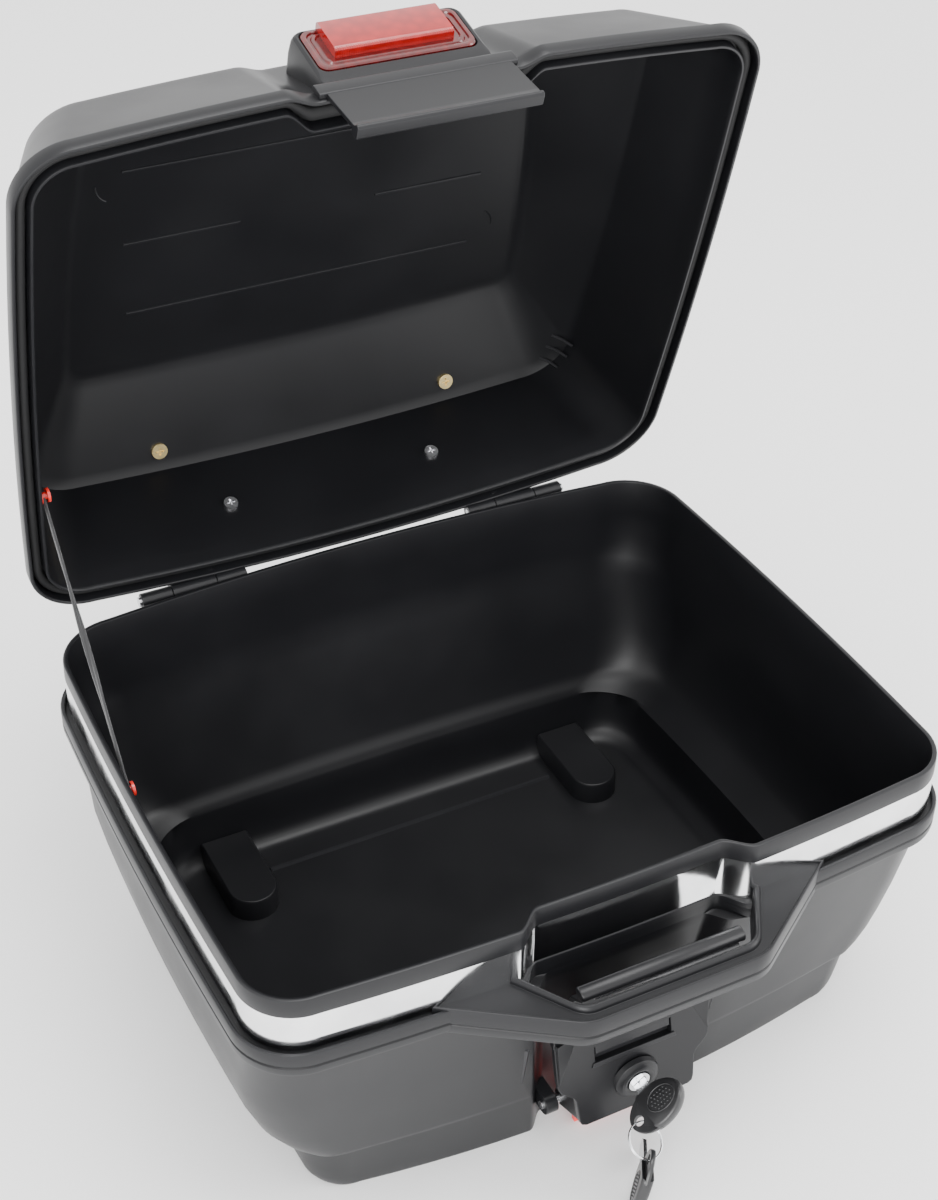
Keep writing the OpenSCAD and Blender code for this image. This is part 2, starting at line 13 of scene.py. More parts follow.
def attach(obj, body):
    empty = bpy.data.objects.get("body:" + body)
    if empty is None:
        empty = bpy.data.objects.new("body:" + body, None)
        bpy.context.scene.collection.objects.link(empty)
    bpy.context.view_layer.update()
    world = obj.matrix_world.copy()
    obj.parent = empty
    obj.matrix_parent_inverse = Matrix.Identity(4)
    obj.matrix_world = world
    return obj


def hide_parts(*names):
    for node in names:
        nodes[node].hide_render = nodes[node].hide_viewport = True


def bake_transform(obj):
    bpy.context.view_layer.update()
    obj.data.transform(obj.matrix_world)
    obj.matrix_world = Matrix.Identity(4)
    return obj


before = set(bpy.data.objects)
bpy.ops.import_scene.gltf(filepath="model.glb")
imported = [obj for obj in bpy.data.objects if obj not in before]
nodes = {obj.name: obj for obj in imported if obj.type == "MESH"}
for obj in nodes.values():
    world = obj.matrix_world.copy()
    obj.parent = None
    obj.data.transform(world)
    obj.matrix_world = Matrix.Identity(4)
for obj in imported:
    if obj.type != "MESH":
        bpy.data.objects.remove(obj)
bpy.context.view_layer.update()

MM = 0.001

# ---------------------------------------------------------------- driving sizes, in mm, as in the CAD

RIM_HW, RIM_YF, RIM_YB, RIM_Z = 205.0, -162.0, 162.0, 180.0
WALL = 3.0
BAND_H, TRIM_H, TRIM_T = 11.4, 26.0, 0.8
TRIM_TOP = RIM_Z - BAND_H
TRIM_BOT = TRIM_TOP - TRIM_H
FLANGE_TOP, FLANGE_BOT, FLANGE_OVER = 146.8, 132.0, 4.8
STEP_Z = 35.0
LID_OPEN = math.radians(74.7)
HINGE_Y, HINGE_Z = 174.0, 176.0
SKIRT_Z, SKIRT_TOP = 178.0, 186.0
CREASE_Z, CREASE_RISE = 254.0, 0.06
LID_TOP = 293.0
LIP_IN = 9.7
KNUCKLE_R = 4.8
HOOK_X, HOOK_Y = 120.5, 74.0
PLINTH_Y = -167.0
BEAD_Y, BEAD_Z, BEAD_R = -175.9, 146.4, 1.8
LOCK_FACE_Y = -172.2
KEY_Y, KEY_TURN = -200.0, math.radians(38)
EYE_X, RING_R = 12.3, 10.2


# ---------------------------------------------------------------- mesh helpers

def finish_mesh(name, verts, faces, body, slot, material, stands_for=(), bevel=0.0, sharp=32, segments=2,
                lid=False):
    """Links a mesh given in mm, shades it by angle, rounds its edges and lets it ride on a body."""
    pose = lid_matrix() if lid else Matrix.Identity(4)
    mesh = bpy.data.meshes.new(name)
    mesh.from_pydata([pose @ (Vector(v) * MM) for v in verts], [], faces)
    obj = bpy.data.objects.new(name, mesh)
    bpy.context.scene.collection.objects.link(obj)
    bm = bmesh.new()
    bm.from_mesh(mesh)
    bmesh.ops.remove_doubles(bm, verts=bm.verts, dist=1e-6)
    bmesh.ops.recalc_face_normals(bm, faces=bm.faces)
    for f in bm.faces:
        f.smooth = True
    for e in bm.edges:
        e.smooth = len(e.link_faces) == 2 and e.calc_face_angle(0) < math.radians(sharp)
    bm.to_mesh(mesh)
    bm.free()
    if bevel:
        add_bevel(obj, bevel, segments, sharp)
    mesh.materials.append(material)
    if stands_for:
        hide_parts(*stands_for)
    if body:
        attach(obj, body)
    return obj


def add_bevel(obj, width_mm, segments=2, angle=32):
    mod = obj.modifiers.new("edge", "BEVEL")
    mod.width = width_mm * MM
    mod.segments = segments
    mod.limit_method = "ANGLE"
    mod.angle_limit = math.radians(angle)
    mod.harden_normals = True


def lid_matrix():
    """Turns closed-lid geometry to the open rest position."""
    axis = Vector((0, HINGE_Y, HINGE_Z)) * MM
    return Matrix.Translation(axis) @ Matrix.Rotation(-LID_OPEN, 4, "X") @ Matrix.Translation(-axis)


def grid_faces(rows, cols, closed_rows):
    """Quads of a grid whose columns close on themselves, and whose rows may."""
    faces = []
    for i in range(rows if closed_rows else rows - 1):
        for j in range(cols):
            k, m = (i + 1) % rows, (j + 1) % cols
            faces.append((i * cols + j, k * cols + j, k * cols + m, i * cols + m))
    return faces


def loft(rings, caps=True):
    """Vertices and faces of a skin through rings that have the same number of points."""
    n = len(rings[0])
    verts = [p for r in rings for p in r]
    faces = grid_faces(len(rings), n, closed_rows=not caps)
    if caps:
        last = (len(rings) - 1) * n
        faces.append(tuple(range(n)))
        faces.append(tuple(last + j for j in reversed(range(n))))
    return verts, faces


def merge(*parts):
    verts, faces = [], []
    for v, f in parts:
        base = len(verts)
        verts += v
        faces += [tuple(base + i for i in face) for face in f]
    return verts, faces


def box(x0, x1, y0, y1, z0, z1):
    v = [(x, y, z) for z in (z0, z1) for y in (y0, y1) for x in (x0, x1)]
    return v, [(0, 1, 3, 2), (4, 6, 7, 5), (0, 4, 5, 1), (1, 5, 7, 3), (3, 7, 6, 2), (2, 6, 4, 0)]


def prism_x(profile, x0, x1):
    """A profile of (y, z) points extruded along X."""
    n = len(profile)
    v = [(x0, y, z) for y, z in profile] + [(x1, y, z) for y, z in profile]
    f = [(j, (j + 1) % n, n + (j + 1) % n, n + j) for j in range(n)]
    return v, f + [tuple(reversed(range(n))), tuple(range(n, 2 * n))]


def lathe(profile, matrix, steps=48, closed=False):
    """A profile of (radius, height) points turned round the local Z of a matrix."""
    rings = []
    for r, h in profile:
        ring = []
        for i in range(steps):
            a = 2 * math.pi * i / steps
            ring.append(tuple(matrix @ Vector((r * math.cos(a), r * math.sin(a), h))))
        rings.append(ring)
    return loft(rings, caps=not closed)


def tube(points, radius, sides=10, closed=False):
    """A round tube along points, with a ring that never twists."""
    pts = [Vector(p) for p in points]
    rings, normal = [], None
    for i, p in enumerate(pts):
        a = pts[(i - 1) % len(pts)] if closed or i else p
        b = pts[(i + 1) % len(pts)] if closed or i < len(pts) - 1 else p
        t = (b - a).normalized()
        if normal is None:
            normal = t.orthogonal()
        normal = (normal - t * normal.dot(t)).normalized()
        side = t.cross(normal)
        rings.append([
            tuple(p + radius * (math.cos(c) * normal + math.sin(c) * side))
            for c in (2 * math.pi * k / sides for k in range(sides))
        ])
    return loft(rings, caps=not closed)


def arc_pts(cx, cy, r, a0, a1, n):
    return [(cx + r * math.cos(math.radians(a0 + (a1 - a0) * i / n)),
             cy + r * math.sin(math.radians(a0 + (a1 - a0) * i / n))) for i in range(n + 1)]


def smooth(t):
    return t * t * (3 - 2 * t)


CORNER, SIDE, BACK = 14, 10, 14


def outline(hw, yf, yb, rf, rb, bow_f, bow_b, notch=0.0, nx=60.0, nrun=16.0, taper=0.0):
    """A plan outline from the front right corner round.

    The sides bow outward, and the front steps in by notch between -nx and nx.
    """
    hf = hw - taper
    xf, xb = hf - rf, hw - rb

    def front(x, inward=0.0):
        return (x, yf - bow_f * (1 - (x / xf) ** 2) + inward)

    pts = arc_pts(xf, yf + rf, rf, 270, 360, CORNER)
    for i in range(1, SIDE):
        t = i / SIDE
        pts.append((hf + (hw - hf) * t + 10.8 * t * (1 - t), yf + rf + (yb - rb - yf - rf) * t))
    pts += arc_pts(xb, yb - rb, rb, 0, 90, CORNER)
    for i in range(1, BACK):
        t = 1 - 2 * i / BACK
        pts.append((xb * t, yb + bow_b * (1 - t * t)))
    pts += arc_pts(-xb, yb - rb, rb, 90, 180, CORNER)
    for i in range(1, SIDE):
        t = i / SIDE
        pts.append((-(hw + (hf - hw) * t + 10.8 * t * (1 - t)), yb - rb - (yb - rb - yf - rf) * t))
    pts += arc_pts(-xf, yf + rf, rf, 180, 270, CORNER)
    outer = [-xf + (xf - nx) * i / 5 for i in range(1, 5)]
    pts += [front(x) for x in outer]
    pts += [front(-nx + nrun * i / 10, notch * smooth(i / 10)) for i in range(11)]
    pts += [front((nx - nrun) * t, notch) for t in (-0.66, -0.33, 0, 0.33, 0.66)]
    pts += [front(nx - nrun * i / 10, notch * smooth(i / 10)) for i in range(10, -1, -1)]
    pts += [front(-x) for x in reversed(outer)]
    return pts


def lift(line, z, rise=0.0):
    return [(x, y, z + rise * y) for x, y in line]


def rim_line(off):
    return outline(RIM_HW + off, RIM_YF - off, RIM_YB + off, 31 + off, 37 + off, 7.7, 8.7,
                   11.5 + 0.97 * max(off, 0), 70, 17)


def flange_line(off, z):
    """A ring of the flange; it dips out of sight behind the latch pocket, where the wall runs flush."""
    ring = []
    for x, y in rim_line(off):
        keep = smooth(min(1, max(0, (abs(x) - 66) / 10))) if y < 0 else 1
        ring.append((x, y, TRIM_BOT - 1 + (z - TRIM_BOT + 1) * keep if z > TRIM_BOT - 1 else z))
    return ring


def body_line(z, hw, off, rf, rb, yb):
    t = 1 - z / FLANGE_BOT
    return outline(hw + off, RIM_YF + 21 * t - off, yb + off, max(rf + off, 3), max(rb + off, 3),
                   7.7 + 5 * t, 8.7 * (1 - t), 11, 60 - 11 * t, 13)


def lid_line(off, notch=0.0):
    return outline(RIM_HW + 4.2 + off, RIM_YF - 5.5 - off, RIM_YB + 3 + off, 33 + off, 39 + off,
                   7.7, 8.7, notch, 72, 17)


def dome_line(off):
    return outline(188 + off, -141.5 - off, 158 + off, 30 + off, 34 + off, 6, 6, 5, 72, 17, 6)


def panel_line(off):
    return outline(150 + off, -82 - off, 97 + off, 14 + off, 14 + off, 2, 2, 0, 40, 10, 12)


# ---------------------------------------------------------------- materials

def new_material(name):
    mat = bpy.data.materials.new(name)
    mat.use_nodes = True
    tree = mat.node_tree
    return mat, tree, tree.nodes["Principled BSDF"]


def coords(tree, scale=(1, 1, 1)):
    tex = tree.nodes.new("ShaderNodeTexCoord")
    mapping = tree.nodes.new("ShaderNodeMapping")
    mapping.inputs["Scale"].default_value = scale
    tree.links.new(tex.outputs["Object"], mapping.inputs["Vector"])
    return mapping.outputs["Vector"]


def noise(tree, vector, scale, detail=4.0, rough=0.55):
    n = tree.nodes.new("ShaderNodeTexNoise")
    n.inputs["Scale"].default_value = scale
    n.inputs["Detail"].default_value = detail
    n.inputs["Roughness"].default_value = rough
    tree.links.new(vector, n.inputs["Vector"])
    return n.outputs["Fac"]


def spread(tree, value, low, high, from_low=0.3, from_high=0.7):
    m = tree.nodes.new("ShaderNodeMapRange")
    m.inputs["From Min"].default_value = from_low
    m.inputs["From Max"].default_value = from_high
    m.inputs["To Min"].default_value = low
    m.inputs["To Max"].default_value = high
    tree.links.new(value, m.inputs["Value"])
    return m.outputs["Result"]


def tint(tree, value, dark, light):
    mix = tree.nodes.new("ShaderNodeMix")
    mix.data_type = "RGBA"
    mix.inputs["A"].default_value = (*dark, 1)
    mix.inputs["B"].default_value = (*light, 1)
    tree.links.new(value, mix.inputs["Factor"])
    return mix.outputs["Result"]


def bump(tree, height, distance, strength, after=None):
    b = tree.nodes.new("ShaderNodeBump")
    b.inputs["Strength"].default_value = strength
    b.inputs["Distance"].default_value = distance
    tree.links.new(height, b.inputs["Height"])
    if after is not None:
        tree.links.new(after, b.inputs["Normal"])
    return b.outputs["Normal"]


def plastic(name, color, rough, grain_mm=0.5, grain=0.18, coat=0.0, spec=0.5):
    """Moulded plastic: fine spark-eroded grain, slow flow marks, and convex edges painted lighter as a
    painted highlight.
    """
    mat, tree, shader = new_material(name)
    at = coords(tree)
    flow = noise(tree, at, 14, 5)
    fine = noise(tree, at, 1 / (grain_mm * MM), 2)
    # Painted highlight: convex edges (high pointiness) are mixed towards a lighter colour.
    edge = tree.nodes.new("ShaderNodeNewGeometry").outputs["Pointiness"]
    edge_highlight = spread(tree, edge, 0, 1, 0.52, 0.62)
    base = tint(tree, spread(tree, flow, 0, 1), [c * 0.9 for c in color], [c * 1.12 for c in color])
    mix = tree.nodes.new("ShaderNodeMix")
    mix.data_type = "RGBA"
    mix.inputs["B"].default_value = (*[min(1, c * 1.7 + 0.004) for c in color], 1)
    tree.links.new(edge_highlight, mix.inputs["Factor"])
    tree.links.new(base, mix.inputs["A"])
    tree.links.new(mix.outputs["Result"], shader.inputs["Base Color"])
    tree.links.new(spread(tree, flow, rough - 0.04, rough + 0.05), shader.inputs["Roughness"])
    tree.links.new(bump(tree, fine, grain_mm * MM * 0.35, grain), shader.inputs["Normal"])
    shader.inputs["Specular IOR Level"].default_value = spec
    shader.inputs["Coat Weight"].default_value = coat
    shader.inputs["Coat Roughness"].default_value = 0.12
    return mat


def metal(name, color, rough, brush=(1, 1, 1), brush_scale=900, grain=0.06):
    """Metal with fine brushing or polish marks and a slowly varying finish."""
    mat, tree, shader = new_material(name)
    slow = noise(tree, coords(tree), 40, 3)
    fine = noise(tree, coords(tree, brush), brush_scale, 3)
    dark, light = [c * 0.88 for c in color], [min(1, c * 1.06) for c in color]
    tree.links.new(tint(tree, spread(tree, slow, 0, 1), dark, light), shader.inputs["Base Color"])
    tree.links.new(spread(tree, fine, max(0.02, rough - 0.05), rough + 0.08), shader.inputs["Roughness"])
    tree.links.new(bump(tree, fine, 0.0001, grain), shader.inputs["Normal"])
    shader.inputs["Metallic"].default_value = 1.0
    return mat


def lens(name, dark, light, cell_mm, painted_glow):
    """Red prismatic lens: a moulded cell pattern under a clear gloss surface, with a faint painted glow."""
    mat, tree, shader = new_material(name)
    at = coords(tree)
    cells = tree.nodes.new("ShaderNodeTexVoronoi")
    cells.inputs["Scale"].default_value = 1 / (cell_mm * MM)
    tree.links.new(at, cells.inputs["Vector"])
    tree.links.new(tint(tree, spread(tree, cells.outputs["Distance"], 0, 1, 0.1, 0.7), light, dark),
                   shader.inputs["Base Color"])
    tree.links.new(spread(tree, noise(tree, at, 60), 0.1, 0.2), shader.inputs["Roughness"])
    tree.links.new(bump(tree, noise(tree, at, 200), 0.00005, 0.05), shader.inputs["Normal"])
    shader.inputs["Coat Weight"].default_value = 0.6
    shader.inputs["Coat Roughness"].default_value = 0.05
    # Painted glow: a weak emission makes the lens shine, though it is no lamp.
    shader.inputs["Emission Color"].default_value = (*light, 1)
    shader.inputs["Emission Strength"].default_value = painted_glow
    return mat


def woven(name, dark, light, thread_mm):
    """Flat woven cord: a diagonal weave of threads with lint, its colour following the weave: painted shade
    in the crevices, painted highlight on the crowns.
    """
    mat, tree, shader = new_material(name)
    at = coords(tree)
    heights = []
    for turn in (1, -1):
        wave = tree.nodes.new("ShaderNodeTexWave")
        wave.bands_direction = "DIAGONAL"
        wave.inputs["Scale"].default_value = 1 / (thread_mm * MM * 3)
        wave.inputs["Distortion"].default_value = 0.6
        flip = tree.nodes.new("ShaderNodeMapping")
        flip.inputs["Scale"].default_value = (1, turn, 1)
        tree.links.new(at, flip.inputs["Vector"])
        tree.links.new(flip.outputs["Vector"], wave.inputs["Vector"])
        heights.append(wave.outputs["Fac"])
    both = tree.nodes.new("ShaderNodeMath")
    both.operation = "MULTIPLY"
    tree.links.new(heights[0], both.inputs[0])
    tree.links.new(heights[1], both.inputs[1])
    # Painted shade and highlight: the colour is darker where the weave is low and lighter where it is high.
    tree.links.new(tint(tree, both.outputs[0], dark, light), shader.inputs["Base Color"])
    shader.inputs["Roughness"].default_value = 0.75
    shader.inputs["Sheen Weight"].default_value = 0.4
    tree.links.new(bump(tree, both.outputs[0], 0.0003, 0.6), shader.inputs["Normal"])
    return mat


def vinyl(name, color):
    """Grained vinyl: pebbled cells with fine creases, and painted shade in the grooves between the cells."""
    mat, tree, shader = new_material(name)
    at = coords(tree)
    cells = tree.nodes.new("ShaderNodeTexVoronoi")
    cells.feature = "DISTANCE_TO_EDGE"
    cells.inputs["Scale"].default_value = 520
    tree.links.new(at, cells.inputs["Vector"])
    pebble = spread(tree, cells.outputs["Distance"], 0, 1, 0.0, 0.18)
    first = bump(tree, noise(tree, at, 60, 6), 0.0006, 0.25)
    tree.links.new(bump(tree, pebble, 0.0004, 0.5, first), shader.inputs["Normal"])
    # Painted shade: the colour darkens towards the grooves between the pebbles.
    tree.links.new(tint(tree, pebble, [c * 0.5 for c in color], color), shader.inputs["Base Color"])
    tree.links.new(spread(tree, noise(tree, at, 30), 0.42, 0.58), shader.inputs["Roughness"])
    return mat


SHELL = plastic("shell_plastic", (0.0065, 0.0066, 0.0078), 0.37, 0.55, 0.14, spec=0.33)
INNER = plastic("latch_plastic", (0.006, 0.006, 0.007), 0.34, 0.4, 0.12, spec=0.33)
# Painted highlight: a lighter copy of the latch plastic for the finger strip, which faces up into the light.
LATCH_STRIP_PAINTED_LIGHT = plastic("latch_strip_painted_light", (0.03, 0.03, 0.033), 0.26, 0.5, 0.1)
KEY_PLASTIC = plastic("key_plastic", (0.012, 0.012, 0.013), 0.3, 0.3, 0.12, coat=0.2)
RED = plastic("red_plastic", (0.52, 0.018, 0.012), 0.28, 0.6, 0.06, coat=0.3)
RUBBER = plastic("seal_rubber", (0.008, 0.008, 0.0085), 0.7, 0.3, 0.3, spec=0.3)
CHROME = metal("chrome_trim", (0.93, 0.935, 0.945), 0.1, (1, 1, 0.15), 60, 0.05)
STEEL = metal("steel", (0.62, 0.62, 0.64), 0.26)
GOLD = metal("gold_screw", (0.9, 0.72, 0.36), 0.34)
SILVER = metal("silver_screw", (0.9, 0.9, 0.92), 0.32)
LOCK = metal("lock_metal", (0.8, 0.81, 0.83), 0.16)
KEY_METAL = metal("key_metal", (0.74, 0.75, 0.77), 0.2, (1, 6, 1), 700)
LENS = lens("red_lens", (0.27, 0.002, 0.002), (0.36, 0.004, 0.003), 6.0, 0.02)
LENS_DARK = lens("dark_red_lens", (0.07, 0.001, 0.001), (0.12, 0.002, 0.002), 4.0, 0.01)
VINYL = vinyl("pad_cover", (0.02, 0.02, 0.021))
CORD = woven("strap_cord", (0.012, 0.012, 0.013), (0.05, 0.05, 0.054), 0.5)


# ---------------------------------------------------------------- base

def back_y(z):
    if z > STEP_Z:
        return 130 + 32 * ((z - STEP_Z) / (FLANGE_BOT - STEP_Z)) ** 0.8
    return 122 + 8 * z / STEP_Z


def bulge_at(z):
    """Half width and corner radius of the side bulge at a height."""
    known = [(36, 178, 22), (41, 186, 28), (50, 194, 34), (65, 200, 38), (85, 203, 38), (131, 203.5, 33)]
    for (z0, w0, r0), (z1, w1, r1) in zip(known, known[1:]):
        if z <= z1:
            t = (z - z0) / (z1 - z0)
            return w0 + (w1 - w0) * t, r0 + (r1 - r0) * t
    return known[-1][1:]


def bulge_ring(z, off, lift_by=0.0):
    hw, rf = bulge_at(z)
    return lift(body_line(z, hw, off, rf, 45, back_y(z)), z + lift_by)


def make_base():
    tub = [(0, 163.5, 13, 6.5), (0.6, 166, 14, 4.5), (2.2, 168.6, 16, 2.2), (5, 170.6, 17, 0.6),
           (9, 171.9, 18, 0),
           (18, 173, 19, 0), (27, 173.9, 20, 0), (34, 174.5, 20, 0), (34.9, 174.9, 20.5, 0)]
    bulge_z = [36, 38, 41, 45, 50, 57, 65, 75, 85, 98, 112, 124, 131]
    rings = [lift(body_line(z, hw, 0, r + 4, 34, back_y(z) - b), z) for z, hw, r, b in tub]
    rings += [bulge_ring(z, 0) for z in bulge_z]
    over = FLANGE_OVER
    rings += [flange_line(o, z) for o, z in (
        (over - 1.6, FLANGE_BOT - 0.2), (over - 0.3, FLANGE_BOT + 0.4), (over, FLANGE_BOT + 1.6),
        (over, FLANGE_BOT + 5),
        (over - 0.7, FLANGE_BOT + 5.6), (over - 0.7, FLANGE_BOT + 6.4), (over, FLANGE_BOT + 7),
        (over, FLANGE_TOP - 0.8), (over - 0.5, FLANGE_TOP), (over - 1.7, FLANGE_TOP),
        (over - 2.3, FLANGE_TOP - 0.6),
        (over - 2.4, TRIM_BOT))]
    rings += [lift(rim_line(o), z) for o, z in (
        (-TRIM_T, TRIM_BOT), (-TRIM_T, TRIM_TOP), (0, TRIM_TOP), (0.15, TRIM_TOP + 1),
        (0, RIM_Z - 0.9), (-0.3, RIM_Z - 0.25), (-0.9, RIM_Z), (-WALL + 0.9, RIM_Z),
        (-WALL + 0.3, RIM_Z - 0.25),
        (-WALL, RIM_Z - 0.9), (-WALL - 0.6, 157), (-WALL - 1.2, FLANGE_BOT + 2))]
    rings += [bulge_ring(z, -WALL, 2.0 if z < 42 else 0) for z in reversed(bulge_z[:-1])]
    inner = [(34, 174.5, 20, 0), (27, 173.9, 20, 0), (18, 173, 19, 0), (12, 171.5, 18, 0.5),
             (8, 169.5, 17, 1.8), (5.4, 166.5, 15, 4)]
    rings += [lift(body_line(z, hw, -WALL, r + 4, 34, back_y(z) - b), z + (2 if z > 30 else 0))
              for z, hw, r, b in inner]
    rings.append(lift(body_line(WALL, 160, -2, 12, 26, 114), 4.2))
    verts, faces = loft(rings)
    finish_mesh("base_tub", verts, faces, "base", "shell_plastic", SHELL, ["base_shell"], sharp=38)


def fillet_path(pts, cut, n=6):
    """An open path with each inner corner rounded."""
    out = [Vector(pts[0])]
    for a, p, b in zip(pts, pts[1:], pts[2:]):
        a, p, b = Vector(a), Vector(p), Vector(b)
        s, e = p + (a - p).normalized() * cut, p + (b - p).normalized() * cut
        for i in range(n + 1):
            t = i / n
            out.append(s * (1 - t) ** 2 + p * 2 * t * (1 - t) + e * t * t)
    out.append(Vector(pts[-1]))
    return out


def make_ledge():
    """Trapezoid ledge with a raised outer lip, a sunk flat and a rounded bead round the latch pocket."""
    outer = fillet_path([(-121.5, -163), (-52, -210), (52, -210), (121.5, -163)], 7)
    inner = fillet_path([(-76.5, -157.5), (-50.5, -199), (50.5, -199), (76.5, -157.5)], 7)
    z0, top = FLANGE_BOT - 1, FLANGE_TOP
    section = [("o", 0.6, z0 - 0.2), ("o", 0, z0 + 0.6), ("o", 0, z0 + 5), ("o", 0.7, z0 + 5.6),
               ("o", 0.7, z0 + 6.4), ("o", 0, z0 + 7),
               ("o", 0, top + 0.8), ("o", 0.5, top + 1.5), ("o", 1.6, top + 1.5), ("o", 2.1, top + 0.8),
               ("o", 2.3, top + 0.15),
               ("i", 4.9, top + 0.15), ("i", 4.6, top + 1.2), ("i", 3.9, top + 2.7), ("i", 2.6, top + 3.5),
               ("i", 1.4, top + 3.2),
               ("i", 0.5, top + 2.2), ("i", 0.1, top + 0.8), ("i", 0, z0), ("i", 1.8, z0),
               ("i", 2.2, top - 4), ("o", 3, top - 4), ("o", 2.6, z0 - 0.2)]
    rows = []
    for o, i in zip(outer, inner):
        across = (i - o).normalized()
        row = []
        for kind, d, z in section:
            p = o + across * d if kind == "o" else i - across * d
            row.append((p.x, p.y, z))
        rows.append(row)
    verts, faces = loft(rows)
    finish_mesh("front_ledge", verts, faces, "base", "shell_plastic", SHELL, bevel=0.25, sharp=40)


def front_wall_y(z):
    """The front wall beside the latch, leaning inward with depth below the flange."""
    return RIM_YF + 21 * (1 - z / FLANGE_BOT) - (7.7 + 5 * (1 - z / FLANGE_BOT)) * 0.86


def make_base_fittings():
    """Hook bosses, floor ridge, lever housing, axle lugs and hinge knuckles moulded with the tub."""
    for s, side in ((-1, "left"), (1, "right")):
        cx = s * HOOK_X
        plan = arc_pts(cx, HOOK_Y, 15.6, 180, 360, 16) + [(cx + 15.6, 121), (cx - 15.6, 121)]
        scaled = [[(cx + (x - cx) * k, HOOK_Y + (y - HOOK_Y) * (k if y < 80 else 1), z) for x, y in plan]
                  for k, z in ((1.04, 2), (1.0, 17.4), (0.93, 19), (0.2, 19))]
        finish_mesh("hook_boss_" + side, *loft(scaled), "base", "shell_plastic", SHELL, bevel=0.4)
        x0, x1 = sorted((s * 38, s * 45.5))
        lug = [(-144.5, 21)] + [(-158 + 6 * math.sin(a), 27 + 6 * math.cos(a))
                                for a in [math.pi + math.pi * i / 12 for i in range(13)]] + [(-144.5, 33)]
        finish_mesh("axle_lug_" + side, *prism_x(lug, x0, x1), "base", "shell_plastic", SHELL, bevel=0.5)
        for k, (a, b, web) in enumerate(((76, 95.2, 166), (123.8, 143, 162.8))):
            x0, x1 = sorted((s * a, s * b))
            profile = [(web, 168.8), (web + 3, 168.8), (171.5, 170)] + [
                (HINGE_Y + KNUCKLE_R * math.cos(c), HINGE_Z + KNUCKLE_R * math.sin(c))
                for c in [math.radians(-80 + 260 * i / 20) for i in range(21)]] + [(web, HINGE_Z - 1)]
            finish_mesh("base_knuckle_%s_%d" % (side, k), *prism_x(profile, x0, x1), "base", "shell_plastic",
                        SHELL, bevel=0.5)
    ridge = [(93.2, 4), (94.2, 5.6), (95.8, 5.6), (96.8, 4)]
    finish_mesh("floor_ridge", *prism_x(ridge, -100, 100), "base", "shell_plastic", SHELL)
    finish_mesh("lever_housing", *box(-34, 34, -141, -112, 3, 11), "base", "shell_plastic", SHELL, bevel=1.2,
                segments=3)
    top, foot, run = 84, 51, 59
    for s, side in ((-1, "left"), (1, "right")):
        dart = [(s * (run - 3), front_wall_y(top) + 1, top), (s * (run + 3), front_wall_y(top) + 1, top),
                (s * run, front_wall_y(top) - 0.9, top - 2), (s * (run - 1), front_wall_y(foot) + 0.6, foot),
                (s * (run + 1), front_wall_y(foot) + 0.6, foot),
                (s * run, front_wall_y(foot) - 0.5, foot + 1)]
        finish_mesh("front_rib_" + side, dart,
                    [(0, 1, 2), (3, 5, 4), (0, 2, 5, 3), (1, 4, 5, 2), (0, 3, 4, 1)],
                    "base", "shell_plastic", SHELL)


def make_chrome():
    rings = [lift(rim_line(o), z) for o, z in (
        (-0.05, TRIM_BOT + 0.2), (0.02, TRIM_BOT + 1.2), (0.1, TRIM_BOT + 8), (0.1, TRIM_TOP - 8),
        (0.02, TRIM_TOP - 1.2),
        (-0.05, TRIM_TOP - 0.2), (-TRIM_T + 0.02, TRIM_TOP - 0.1), (-TRIM_T + 0.02, TRIM_BOT + 0.1))]
    finish_mesh("chrome_trim_band", *loft(rings, caps=False), "base", "chrome_trim", CHROME, ["chrome_band"],
                sharp=40)


# ---------------------------------------------------------------- lid

def mix_line(a, b, t):
    return [(p[0] + (q[0] - p[0]) * t, p[1] + (q[1] - p[1]) * t, p[2] + (q[2] - p[2]) * t)
            for p, q in zip(a, b)]


